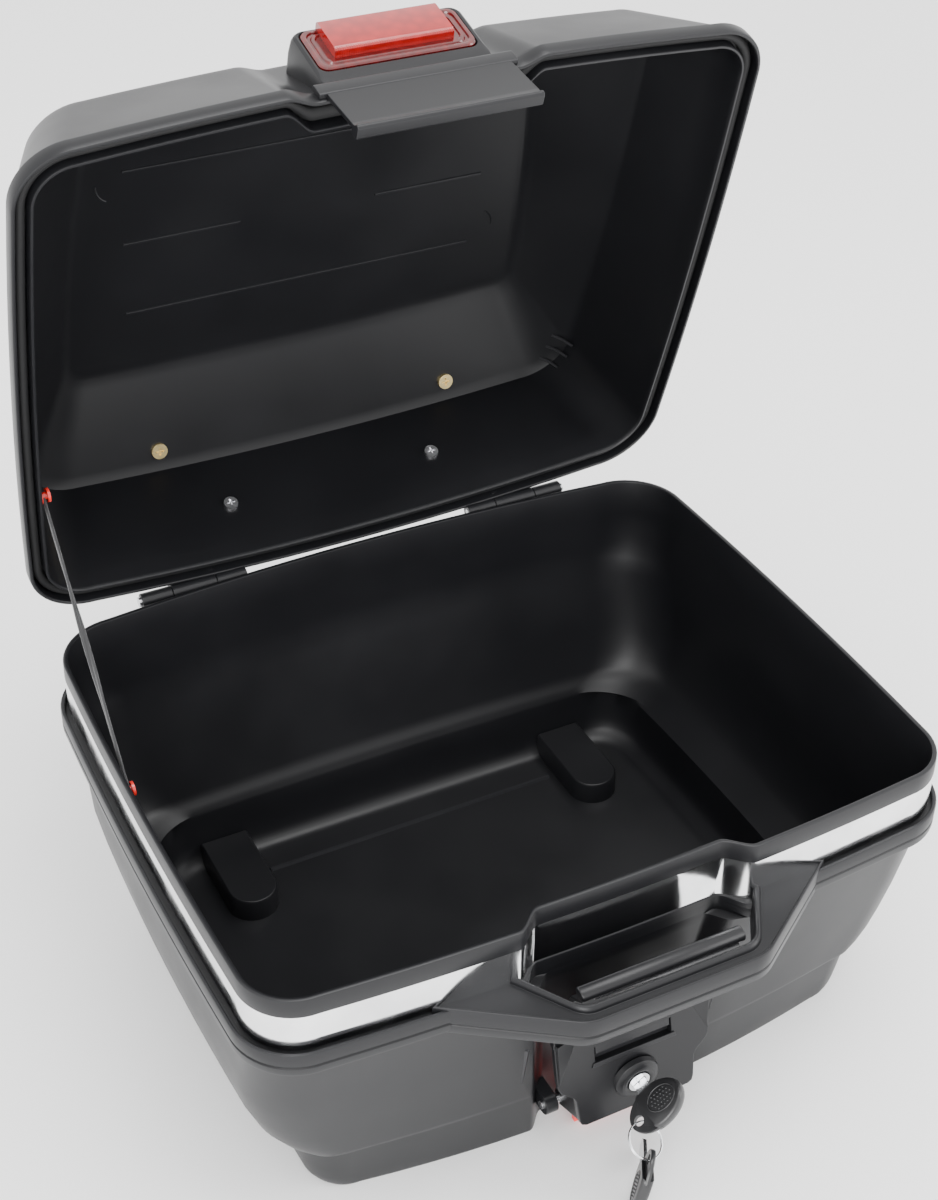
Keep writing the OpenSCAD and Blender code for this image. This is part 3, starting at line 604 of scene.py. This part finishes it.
def make_lid():
    low = lift(lid_line(-4.6, 6.5), SKIRT_TOP + 4)
    dome = lift(dome_line(0), CREASE_Z - 1.5, CREASE_RISE)
    crown = lift(dome_line(-3), CREASE_Z + 1.0, CREASE_RISE)
    panel = lift(panel_line(3), LID_TOP - 0.9)
    outer = [lift(panel_line(-3), LID_TOP + 0.2), lift(panel_line(0.6), LID_TOP - 0.1), panel]
    outer += [mix_line(panel, crown, t) for t in (0.25, 0.5, 0.75)]
    outer += [crown, lift(dome_line(-1.2), CREASE_Z, CREASE_RISE), dome]
    outer += [mix_line(dome, low, t) for t in (0.06, 0.2, 0.4, 0.6, 0.8, 0.95)]
    outer += [low] + [lift(lid_line(o, n), z) for o, n, z in (
        (-4.4, 6.4, SKIRT_TOP + 2.2), (-3.4, 6.2, SKIRT_TOP + 1.2), (-1.2, 5.9, SKIRT_TOP + 0.8),
        (-0.3, 5.7, SKIRT_TOP + 0.3),
        (0, 5.7, SKIRT_TOP - 0.6), (0.1, 5.7, SKIRT_Z + 4), (0, 5.7, SKIRT_Z + 0.8),
        (-0.3, 5.7, SKIRT_Z + 0.2), (-0.9, 5.7, SKIRT_Z),
        (-1.8, 5.7, SKIRT_Z), (-2.3, 5.7, SKIRT_Z + 0.5), (-2.4, 5.7, SKIRT_Z + 9),
        (-LIP_IN, 13, SKIRT_Z + 9),
        (-LIP_IN, 13, SKIRT_Z + 1.6), (-LIP_IN - 0.5, 13, SKIRT_Z + 1), (-LIP_IN - 1.5, 13, SKIRT_Z + 1),
        (-LIP_IN - 2, 13, SKIRT_Z + 1.6), (-LIP_IN - 2.1, 12.5, SKIRT_Z + 4),
        (-LIP_IN - 2.6, 11, SKIRT_TOP + 2), (-LIP_IN - 3, 9, SKIRT_TOP + 8))]
    inner_low = outer[-1]
    inner_dome = lift(dome_line(-WALL), CREASE_Z - 4.5, CREASE_RISE)
    inner_crown = lift(dome_line(-WALL - 3), CREASE_Z - 2, CREASE_RISE)
    inner_panel = lift(panel_line(0), LID_TOP - WALL - 1)
    outer += [mix_line(inner_low, inner_dome, t) for t in (0.2, 0.4, 0.6, 0.8, 0.94)]
    outer += [inner_dome, inner_crown] + [mix_line(inner_crown, inner_panel, t)
                                          for t in (0.06, 0.3, 0.6, 0.9)]
    outer += [inner_panel, lift(panel_line(-4), LID_TOP - WALL)]
    finish_mesh("lid_dome", *loft(outer), "lid", "shell_plastic", SHELL, ["lid_shell"], sharp=40, lid=True)


def rounded_ring(hx, z0, z1, y):
    """A rectangle with rounded corners standing across Y, from -hx to hx and from z0 to z1."""
    r = 5.0
    plan = (arc_pts(hx - r, z1 - r, r, 0, 90, 6) + arc_pts(-hx + r, z1 - r, r, 90, 180, 6)
            + arc_pts(-hx + r, z0 + r, r, 180, 270, 6) + arc_pts(hx - r, z0 + r, r, 270, 360, 6))
    return [(a, y, b) for a, b in plan]


def make_lid_fittings():
    bead = [(BEAD_Y + BEAD_R * math.cos(a), BEAD_Z + BEAD_R * math.sin(a))
            for a in [math.radians(120 + 15 * i) for i in range(11)]]
    profile = [(-168, 189), (-170.4, 189), (-171.1, 187.4), (-171, 184), (-175.4, 152.2),
               (-175.8, 149.4)] + bead + [
        (-170.6, 144.8), (-169.9, 145.5), (-169.9, 150), (-170.5, 150.7), (-172.9, 151.3), (-168, 184)]
    finish_mesh("lid_tongue", *prism_x(profile, -50.5, 50.5), "lid", "shell_plastic", SHELL, bevel=0.5,
                lid=True)
    root = [(-168, 180), (-171.4, 180), (-171.9, 180.7), (-172, 187), (-171.4, 188.6), (-170, 189.4),
            (-168, 189.8)]
    finish_mesh("lid_tongue_root", *prism_x(root, -54.5, 54.5), "lid", "shell_plastic", SHELL, bevel=0.9,
                segments=3, lid=True)
    plinth = []
    for hx, z0, z1, at in ((48.5, 187.6, 236, -146), (48.4, 188, 236, -158), (47.6, 189.4, 235.6, -165),
                           (46.8, 191.6, 235, -167.2),
                           (45.4, 196.6, 234.8, -168.1), (44.1, 200.8, 234.5, -167.9),
                           (43.6, 201.8, 234.1, -166.8), (43.5, 201.9, 234.1, -164.2)):
        plinth.append(rounded_ring(hx, z0, z1, at))
    finish_mesh("reflector_plinth", *loft(plinth), "lid", "shell_plastic", SHELL, bevel=0.3, lid=True)
    ribs = [(-115, 115, -54), (43, 114, -2), (-114, -43, -2), (-112, 112, 51)]
    for k, (x0, x1, ry) in enumerate(ribs):
        z = LID_TOP - WALL
        prof = [(ry - 1.2, z + 0.4), (ry - 0.7, z - 0.9), (ry + 0.7, z - 0.9), (ry + 1.2, z + 0.4)]
        finish_mesh("panel_rib_%d" % k, *prism_x(prof, x0, x1), "lid", "shell_plastic", SHELL, bevel=0.3,
                    lid=True)
    for k, (cx, cy, a0) in enumerate(((116, 40, 300), (-118, -46, 120))):
        pts = [(cx + 12 * math.cos(math.radians(a0 + 5 * i)), cy + 12 * math.sin(math.radians(a0 + 5 * i)),
                LID_TOP - WALL)
               for i in range(14)]
        finish_mesh("panel_arc_%d" % k, *tube(pts, 0.6, 8), "lid", "shell_plastic", SHELL, lid=True)
    for k, yy in enumerate((128, 137, 145)):
        x = 154 + math.sqrt(31 ** 2 - (yy - 124) ** 2)
        gusset = [(x - 0.3, yy, 251.5), (x - 4, yy - 0.5, 258.5), (x - 9.5, yy - 1, 264.5)]
        finish_mesh("corner_rib_%d" % k, *tube(gusset, 1.0, 8), "lid", "shell_plastic", SHELL, lid=True)
    for s, name in ((-1, "left"), (1, "right")):
        x0, x1 = sorted((s * 95.5, s * 123.5))
        prof = [(168.4, 187), (168.4, 181), (170.4, 179.5)] + [
            (HINGE_Y + KNUCKLE_R * math.cos(c), HINGE_Z + KNUCKLE_R * math.sin(c))
            for c in [math.radians(150 + 270 * i / 20) for i in range(21)]] + [(175, 186)]
        finish_mesh("lid_knuckle_" + name, *prism_x(prof, x0, x1), "lid", "shell_plastic", SHELL, bevel=0.5,
                    lid=True)
    seal = [lift(lid_line(o, n), z) for o, n, z in (
        (-4, 9, 182.6), (-3.6, 9, 184), (-3.6, 9, 186.9), (-8.8, 11.8, 186.9), (-8.8, 11.8, 184),
        (-8.2, 11.4, 182.6), (-6.1, 10.3, 181.7))]
    finish_mesh("lid_seal_bead", *loft(seal, caps=False), "lid", "seal_rubber", RUBBER, ["lid_seal"],
                sharp=60, lid=True)


def make_reflector():
    """Deep red base lens with frame ribs, and a brighter raised block with prisms along its lower edge."""
    y = PLINTH_Y
    steps = [(43.4, 202, 234, -2.8), (43.4, 202, 234, 0.9), (43.0, 202.5, 233.6, 1.6),
             (41.8, 203.6, 232.6, 1.8), (41.0, 204.3, 232, 1.6),
             (40.5, 204.8, 231.6, 0.7), (39.3, 205.8, 230.8, 0.7), (38.7, 206.2, 230.4, 1.5),
             (37.4, 207.2, 229.6, 1.5), (36.8, 207.7, 229.2, 0.7),
             (31, 211, 227, 0.7)]
    rings = []
    for hx, z0, z1, out in steps:
        rings.append(rounded_ring(hx, z0, z1, y - out))
    finish_mesh("reflector_base_lens", *loft(rings), "lid", "dark_red_lens", LENS_DARK, ["reflector_base"],
                sharp=25, lid=True)
    prisms = []
    count = 52
    for i in range(count * 2 + 1):
        x = -33 + 66 * i / (count * 2)
        depth = 0.6 if i % 2 else 0.0
        prisms.append([(x, y - 0.3, 210 + depth), (x, y - 4.6, 210.4 + depth), (x, y - 5.3, 211.4 + depth),
                       (x, y - 5.8, 212.8),
                       (x, y - 6.0, 213.8), (x, y - 6.0, 232.8), (x, y - 5.6, 234.2), (x, y - 4.4, 235),
                       (x, y - 0.3, 235)])
    finish_mesh("reflector_block", *loft(prisms), "lid", "red_lens", LENS, ["reflector_lens"], sharp=20,
                lid=True)


def make_backrest():
    """Crowned vinyl cushion on the lid's rear, with a piped edge and two sewn channels."""
    cols, rows = 48, 16
    verts = []
    for side in (0, 1):
        for j in range(rows + 1):
            for i in range(cols + 1):
                u, v = 2 * i / cols - 1, 2 * j / rows - 1
                edge = (1 - abs(u) ** 6) ** 0.4 * (1 - abs(v) ** 4) ** 0.45
                x = 105 * u * (1 - 0.012 * v * v)
                z = 230 + 27.5 * v * (1 - 0.03 * (1 - u * u))
                if side:
                    seam = 2.4 * math.exp(-((abs(u) - 0.42) * 105 / 2.2) ** 2)
                    out = 178.5 + edge * (12.4 - seam)
                else:
                    out = 178.5 - 2.1 * min(1, edge * 3)
                verts.append((x, out, z))
    n = (rows + 1) * (cols + 1)
    faces = []
    for j in range(rows):
        for i in range(cols):
            a = j * (cols + 1) + i
            quad = (a, a + 1, a + cols + 2, a + cols + 1)
            faces.append(quad)
            faces.append(tuple(n + k for k in reversed(quad)))
    rim = [j * (cols + 1) for j in range(rows + 1)]
    border = list(range(cols + 1)) + [k + cols
        for k in rim[1:]] + list(reversed(range(rows * (cols + 1), n - 1))) + list(reversed(rim[1:-1]))
    for a, b in zip(border, border[1:] + border[:1]):
        faces.append((a, n + a, n + b, b))
    pad = finish_mesh("backrest_cushion", verts, faces, "lid", "pad_cover", VINYL, ["backrest_pad"],
                      sharp=70, lid=True)
    piping = [(verts[k][0] * 1.003, 178.5, verts[k][2]) for k in border]
    finish_mesh("backrest_piping", *tube(piping, 1.3, 8, closed=True), "lid", "pad_cover", VINYL, lid=True)


# ---------------------------------------------------------------- latch, lock and keys

LEAN = math.radians(13.6)
LOCK_Z = 47.5
AXLE_Y, AXLE_Z = -158.0, 27.0


def on_plate(x, v, out=0.0):
    """A point in the latch plate's plane: x across, v up the plate, out from its face."""
    return (x, -183 + v * math.sin(LEAN) - out * math.cos(LEAN),
            30 + v * math.cos(LEAN) + out * math.sin(LEAN))


def plate_part(name, plan, out0, out1, bevel):
    """A flat part on the latch plate, between two heights above its face."""
    rings = [[on_plate(x, v, o) for x, v in plan] for o in (out0, out1)]
    finish_mesh(name, *loft(rings), "latch", "latch_plastic", INNER, bevel=bevel)


def ray_ring(poly, centre, angles):
    """Where rays from a centre meet an outline that they all cross once."""
    ring = []
    for a in angles:
        dx, dy = math.cos(a), math.sin(a)
        for (x0, y0), (x1, y1) in zip(poly, poly[1:] + poly[:1]):
            ex, ey, px, py = x1 - x0, y1 - y0, x0 - centre[0], y0 - centre[1]
            det = ex * dy - ey * dx
            if abs(det) < 1e-9:
                continue
            t, u = (ex * py - ey * px) / det, (dx * py - dy * px) / det
            if t > 0 and -1e-6 <= u <= 1 + 1e-6:
                ring.append((centre[0] + dx * t, centre[1] + dy * t))
                break
    return ring


def make_latch():
    right = [(32, 0), (34.6, 1.2), (35.6, 4), (36.8, 17.5), (38.5, 20.5), (45, 26), (46.5, 29), (47, 38),
             (47, 59)]
    plan = right + [(-x, v) for x, v in reversed(right)]
    window = [(23.4, 38.2), (23.4, 47.6), (-23.4, 47.6), (-23.4, 38.2)]
    centre = (0, 43)
    angles = sorted({round(math.atan2(v - centre[1], x - centre[0]), 6) for x, v in plan + window})
    outer, inner = ray_ring(plan, centre, angles), ray_ring(window, centre, angles)
    rings = [[on_plate(x, v, o) for x, v in ring]
             for ring, o in ((outer, -4), (outer, 0), (inner, 0), (inner, -4))]
    finish_mesh("latch_plate", *loft(rings, caps=False), "latch", "latch_plastic", INNER, ["latch_lever"],
                bevel=0.6)
    for s, name in ((-1, "left"), (1, "right")):
        gusset = [on_plate(s * 46.6, 59, 0), on_plate(s * 46.6, 30, 0), on_plate(s * 33, 59, 0),
                  on_plate(s * 46.6, 59, 3.4), on_plate(s * 45.6, 36, 0.6)]
        finish_mesh("latch_gusset_" + name, gusset,
            [(0, 1, 2), (0, 3, 4, 1), (0, 2, 3), (1, 4, 2), (2, 4, 3)], "latch", "latch_plastic", INNER,
            bevel=0.3)
        x0, x1 = sorted((s * 29.5, s * 34.5))
        arm = [(-180, 32), (-176, 50), (-172, 50), (AXLE_Y + 4, AXLE_Z + 5), (AXLE_Y + 5.6, AXLE_Z),
               (AXLE_Y + 4, AXLE_Z - 4.4), (AXLE_Y, AXLE_Z - 5.6), (-178, 30)]
        finish_mesh("latch_arm_" + name, *prism_x(arm, x0, x1), "latch", "latch_plastic", INNER, bevel=0.6)
    flap = [(-22.9, 42.6), (22.9, 42.6), (22.9, 47.6), (-22.9, 47.6)]
    plate_part("latch_window_flap", flap, -3.4, -0.5, 0.5)
    sill = [(-26.2, 35.4), (26.2, 35.4), (25, 38.2), (-25, 38.2)]
    plate_part("latch_window_sill", sill, -0.5, 0.8, 0.4)
    plate_part("latch_window_back", [(-23.4, 37.5), (23.4, 37.5), (23.4, 48), (-23.4, 48)], -4, -3.7, 0)
    web = [(-169.6, 84), (-165.6, 84), (-166, 92), (-182, 138), (-189.2, 142.3), (-189.2, 147.5),
           (-192.8, 148), (-192.8, 143), (-186.5, 138.5), (-170, 90)]
    finish_mesh("latch_web", *prism_x(web, -47.5, 47.5), "latch", "latch_plastic", INNER, bevel=0.6)
    wide, tall = Vector((-0.93, -0.37)), Vector((-0.37, 0.93))
    ring = []
    for x, r in ((-48, 0.72), (-47.9, 0.88), (-47.2, 1), (47.2, 1), (47.9, 0.88), (48, 0.72)):
        spots = [Vector((-191, 147.8)) + wide * (4.2 * r * math.cos(a)) + tall * (3.0 * r * math.sin(a))
                 for a in [2 * math.pi * k / 32 for k in range(32)]]
        ring.append([(x, p.x, p.y) for p in spots])
    finish_mesh("latch_hook_bar", *loft(ring), "latch", "latch_plastic", INNER, sharp=50)
    strip = [(-40, -194.4, 144.6), (33, -197.4, 143.2), (34, -196, 143.9), (36, -196, 143.9),
             (37, -197.6, 143.1), (44, -197.8, 143.0), (45, -190.2, 146.2),
             (-45, -190.2, 146.2)]
    low = [(x, y + 1.4, z - 2.2) for x, y, z in strip]
    # The finger strip wears the lighter painted-highlight copy of the latch plastic.
    finish_mesh("latch_finger_strip", *loft([low, strip]), "latch", "latch_plastic", LATCH_STRIP_PAINTED_LIGHT, bevel=0.4)
    collar = [(9.1, 5), (9.1, 9.8), (10.3, 9.8), (13.2, 8.0), (14.2, 5)]
    finish_mesh("lock_collar", *lathe(collar, lock_matrix(LOCK_FACE_Y), 56, closed=True), "latch",
                "latch_plastic", INNER, bevel=0.3)


def lock_matrix(y):
    """Local Z points out of the lock, towards -Y."""
    return Matrix.Translation((0, y, LOCK_Z)) @ Matrix.Rotation(math.radians(90), 4, "X")


def make_lock():
    profile = [(9, -12), (9, 7.4), (10.0, 7.9), (10.2, 8.6), (9.9, 9.5), (9.0, 9.9), (7.4, 9.7), (6.8, 9.2),
               (6.42, 8.6), (6.42, -12)]
    finish_mesh("lock_bezel_ring", *lathe(profile, lock_matrix(LOCK_FACE_Y), 64, closed=True), "latch",
                "latch_plastic", INNER, ["lock_bezel"], sharp=50)


def key_frame(name):
    """Places a key drawn with its blade along +Y, the head's length along X and the hole at -X."""
    if name == "key":
        return Matrix.Translation((0, KEY_Y, LOCK_Z)) @ Matrix.Rotation(-KEY_TURN, 4, "Y")
    turned = Euler([math.radians(a) for a in (-121.8, 66, -155.6)], "XYZ").to_matrix().to_4x4()
    return Matrix.Translation(key_eye() + 2 * RING_R * RING_DIR) @ turned @ Matrix.Translation((EYE_X, 0, 0))


RING_DIR = Vector((-0.15, -0.853, -0.5))
RING_TAN = Vector((-0.958, 0, 0.287))


def key_eye():
    """Centre of the eye in the head of the key that is in the lock."""
    return Vector((-EYE_X * math.cos(KEY_TURN), KEY_Y, LOCK_Z - EYE_X * math.sin(KEY_TURN)))


def moved(part, matrix):
    return [tuple(matrix @ Vector(v)) for v in part[0]], part[1]


def make_key_head(name, body, node):
    """Oval grip with a waisted edge, a thin eye at one end, a dotted thumb oval and two curved grooves."""
    n = 72
    at = key_frame(name)

    def oval(a, b, z):
        return [(a * math.cos(2 * math.pi * k / n), b * math.sin(2 * math.pi * k / n), z) for k in range(n)]

    def clipped(a, b, z):
        return [(max(x, -5.8 - 0.3 * abs(z)), y, z) for x, y, _ in oval(a, b, z)]

    thick = [clipped(a, b, z) for a, b, z in (
        (15.6, 10.2, -3.3), (16.8, 11.4, -2.8), (17.4, 11.9, -1.6), (17.5, 12, 0), (17.4, 11.9, 1.6),
        (16.8, 11.4, 2.8), (15.6, 10.2, 3.3))]
    finish_mesh(name + "_grip", *moved(loft(thick), at), body, "key_plastic", KEY_PLASTIC, [node], sharp=50)
    hole = [(-EYE_X + 2.9 * math.cos(2 * math.pi * k / n), 2.9 * math.sin(2 * math.pi * k / n))
            for k in range(n)]
    eye = [oval(17.2, 11.7, -1.3), oval(17.5, 12, -0.8), oval(17.5, 12, 0.8), oval(17.2, 11.7, 1.3)]
    eye = [[(min(x, -4), y, z) for x, y, z in ring] for ring in eye]
    eye += [[(x, y, z) for x, y in hole] for z in (1.3, -1.3)]
    finish_mesh(name + "_eye", *moved(loft(eye, caps=False), at), body, "key_plastic", KEY_PLASTIC, sharp=50)
    dots = []
    for side in (-1, 1):
        for i in range(-3, 4):
            for j in range(-2, 3):
                x, y = 5 + i * 2.1 + (j % 2) * 1.05, j * 2.0
                if ((x - 5) / 7.6) ** 2 + (y / 5.2) ** 2 < 1:
                    m = Matrix.Translation((x, y, side * 3.2)) @ Matrix.Rotation(0 if side > 0 else math.pi,
                        4, "X")
                    dots.append(lathe([(0.62, -0.2), (0.6, 0.2), (0.4, 0.42), (0.12, 0.5)], m, 10))
        rim = [(5 + 8.6 * math.cos(2 * math.pi * k / 40), 6.4 * math.sin(2 * math.pi * k / 40), side * 3.25)
               for k in range(40)]
        dots.append(tube(rim, 0.42, 8, closed=True))
    finish_mesh(name + "_grip_dots", *moved(merge(*dots), at), body, "key_plastic", KEY_PLASTIC, sharp=60)


def make_key_ring():
    """Split ring: a flat coil of two turns."""
    c = key_eye() + RING_R * RING_DIR
    normal = -RING_DIR.cross(RING_TAN)
    pts = []
    for i in range(121):
        a = math.radians(110 + 6 * i)
        side = -0.42 + 0.84 * smooth(min(1, max(0, (i - 50) / 20)))
        pts.append(tuple(c + RING_R * (math.cos(a) * RING_TAN + math.sin(a) * RING_DIR) + side * normal))
    finish_mesh("split_ring", *tube(pts, 0.43, 10), "ring", "key_metal", KEY_METAL, ["key_ring"], sharp=60)


def make_springs():
    pts = [(-8.4 + 16.8 * i / 168, AXLE_Y + 3.6 * math.cos(2 * math.pi * i / 24),
            AXLE_Z + 3.6 * math.sin(2 * math.pi * i / 24)) for i in range(169)]
    pts = [(-8.4, -170, AXLE_Z + 6)] + pts + [(8.4, -148.4, AXLE_Z + 9)]
    finish_mesh("latch_spring_coil", *tube(pts, 0.55, 8), "base", "steel", STEEL, ["latch_spring"], sharp=60)
    coil = [(1.0 * math.cos(2 * math.pi * i / 12), -125.7 + 7.4 * i / 84,
             5.5 + 1.0 * math.sin(2 * math.pi * i / 12)) for i in range(85)]
    finish_mesh("release_spring_coil", *tube(coil, 0.25, 6), "base", "steel", STEEL, ["release_spring"],
                sharp=60)


def make_strap():
    """Flat doubled cord between the two grommets, with a slow twist and two edge ridges."""
    lid_at = lid_matrix() @ (Vector((-195.4, 78, 192)) * MM) / MM
    base_at = Vector((-200.45, 36, 160))
    axis = (lid_at - base_at).normalized()
    start, end = base_at + axis * 1.5, lid_at - axis * 1.5
    side0 = axis.cross(Vector((1, 0, 0))).normalized()
    section = [(-2.6, 0), (-2.4, 0.55), (-1.5, 0.85), (-0.4, 0.5), (0, 0.35), (0.4, 0.5), (1.5, 0.85),
               (2.4, 0.55), (2.6, 0),
               (2.4, -0.55), (1.5, -0.85), (0.4, -0.5), (0, -0.35), (-0.4, -0.5), (-1.5, -0.85),
               (-2.4, -0.55)]
    rings = []
    steps = 120
    for i in range(steps + 1):
        t = i / steps
        p = start.lerp(end, t)
        twist = math.pi * smooth(min(1, max(0, (t - 0.2) / 0.6)))
        u = Matrix.Rotation(twist, 3, axis) @ side0
        v = axis.cross(u)
        k = 0.6 + 0.16 * min(1, 6 * min(t, 1 - t))
        rings.append([tuple(p + u * a * k + v * b) for a, b in section])
    strap = finish_mesh("lid_strap_cord", *loft(rings), None, "strap_cord", CORD, ["lid_strap"], sharp=60)
    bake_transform(strap)


make_base()
make_ledge()
make_base_fittings()
make_chrome()
make_lid()
make_lid_fittings()
make_reflector()
make_backrest()
make_latch()
make_lock()
make_key_head("key", "key", "key_head")
make_key_head("spare_key", "spare_key", "spare_key_head")
make_key_ring()
make_springs()
make_strap()

# The CAD nodes that stay: a material each, and rounded edges.
for node, material, edge in (
        ("hinge_pins", STEEL, 0.3), ("latch_axle", STEEL, 0.4), ("strap_anchor_base", RED, 0.4),
        ("strap_anchor_lid", RED, 0.4),
        ("backrest_carrier", INNER, 0.8), ("upper_screws", GOLD, 0.4), ("lower_screws", SILVER, 0.8),
        ("lock_nut", STEEL, 0.3),
        ("lock_cylinder", LOCK, 0.2), ("lock_cam", STEEL, 0.3), ("cam_screw", STEEL, 0.2),
        ("key_blade", KEY_METAL, 0.15),
        ("spare_key_blade", KEY_METAL, 0.15), ("release_lever", RED, 0.7)):
    nodes[node].data.materials.clear()
    nodes[node].data.materials.append(material)
    for face in nodes[node].data.polygons:
        face.use_smooth = True
    add_bevel(nodes[node], edge, 2, 35)

# ---------------------------------------------------------------- floor, light and camera

def make_stage():
    mesh = bpy.data.meshes.new("floor")
    mesh.from_pydata([(-6, -6, 0), (6, -6, 0), (6, 6, 0), (-6, 6, 0)], [], [(0, 1, 2, 3)])
    floor = bpy.data.objects.new("floor", mesh)
    bpy.context.scene.collection.objects.link(floor)
    mat, tree, shader = new_material("floor_pale")
    tree.links.new(tint(tree, noise(tree, coords(tree), 3), (0.93, 0.93, 0.93), (0.96, 0.96, 0.96)),
                   shader.inputs["Base Color"])
    shader.inputs["Roughness"].default_value = 0.7
    mesh.materials.append(mat)
    world = bpy.data.worlds.new("studio")
    world.use_nodes = True
    world.node_tree.nodes["Background"].inputs["Color"].default_value = (1, 1, 1, 1)
    world.node_tree.nodes["Background"].inputs["Strength"].default_value = 2.1
    bpy.context.scene.world = world
    for name, at, look, size, power in (
            ("key_light", (-1.1, -1.7, 1.1), (0, 0, 0.15), 1.1, 34),
            ("fill_light", (1.7, -1.2, 1.0), (0, 0, 0.15), 1.0, 18),
            ("top_light", (0.3, -0.2, 2.3), (0, 0.1, 0.2), 1.2, 30)):
        light = bpy.data.lights.new(name, "AREA")
        light.size = size
        light.energy = power
        lamp = bpy.data.objects.new(name, light)
        lamp.location = at
        lamp.rotation_euler = (Vector(look) - Vector(at)).to_track_quat("-Z", "Y").to_euler()
        bpy.context.scene.collection.objects.link(lamp)


def make_camera():
    """The view: azimuth, elevation, roll, a distance from the rim's centre and a small pan."""
    azimuth, elevation, roll = math.radians(-27.85), math.radians(36.64), math.radians(1.2)
    distance, pan_right, pan_up = 1.10437, -0.01047, 0.05408
    back = Vector((math.sin(azimuth) * math.cos(elevation), -math.cos(azimuth) * math.cos(elevation),
                   math.sin(elevation)))
    right = (-back).cross(Vector((0, 0, 1))).normalized()
    up = right.cross(-back)
    right, up = right * math.cos(roll) + up * math.sin(roll), up * math.cos(roll) - right * math.sin(roll)
    camera = bpy.data.objects.new("camera", bpy.data.cameras.new("camera"))
    place = back * distance + right * pan_right + up * pan_up + Vector((0, 0, RIM_Z * MM))
    camera.matrix_world = Matrix.Translation(place) @ Matrix((right, up, back)).transposed().to_4x4()
    camera.data.sensor_width = 36
    camera.data.lens = 59.0
    bpy.context.scene.collection.objects.link(camera)
    bpy.context.scene.camera = camera


make_stage()
make_camera()
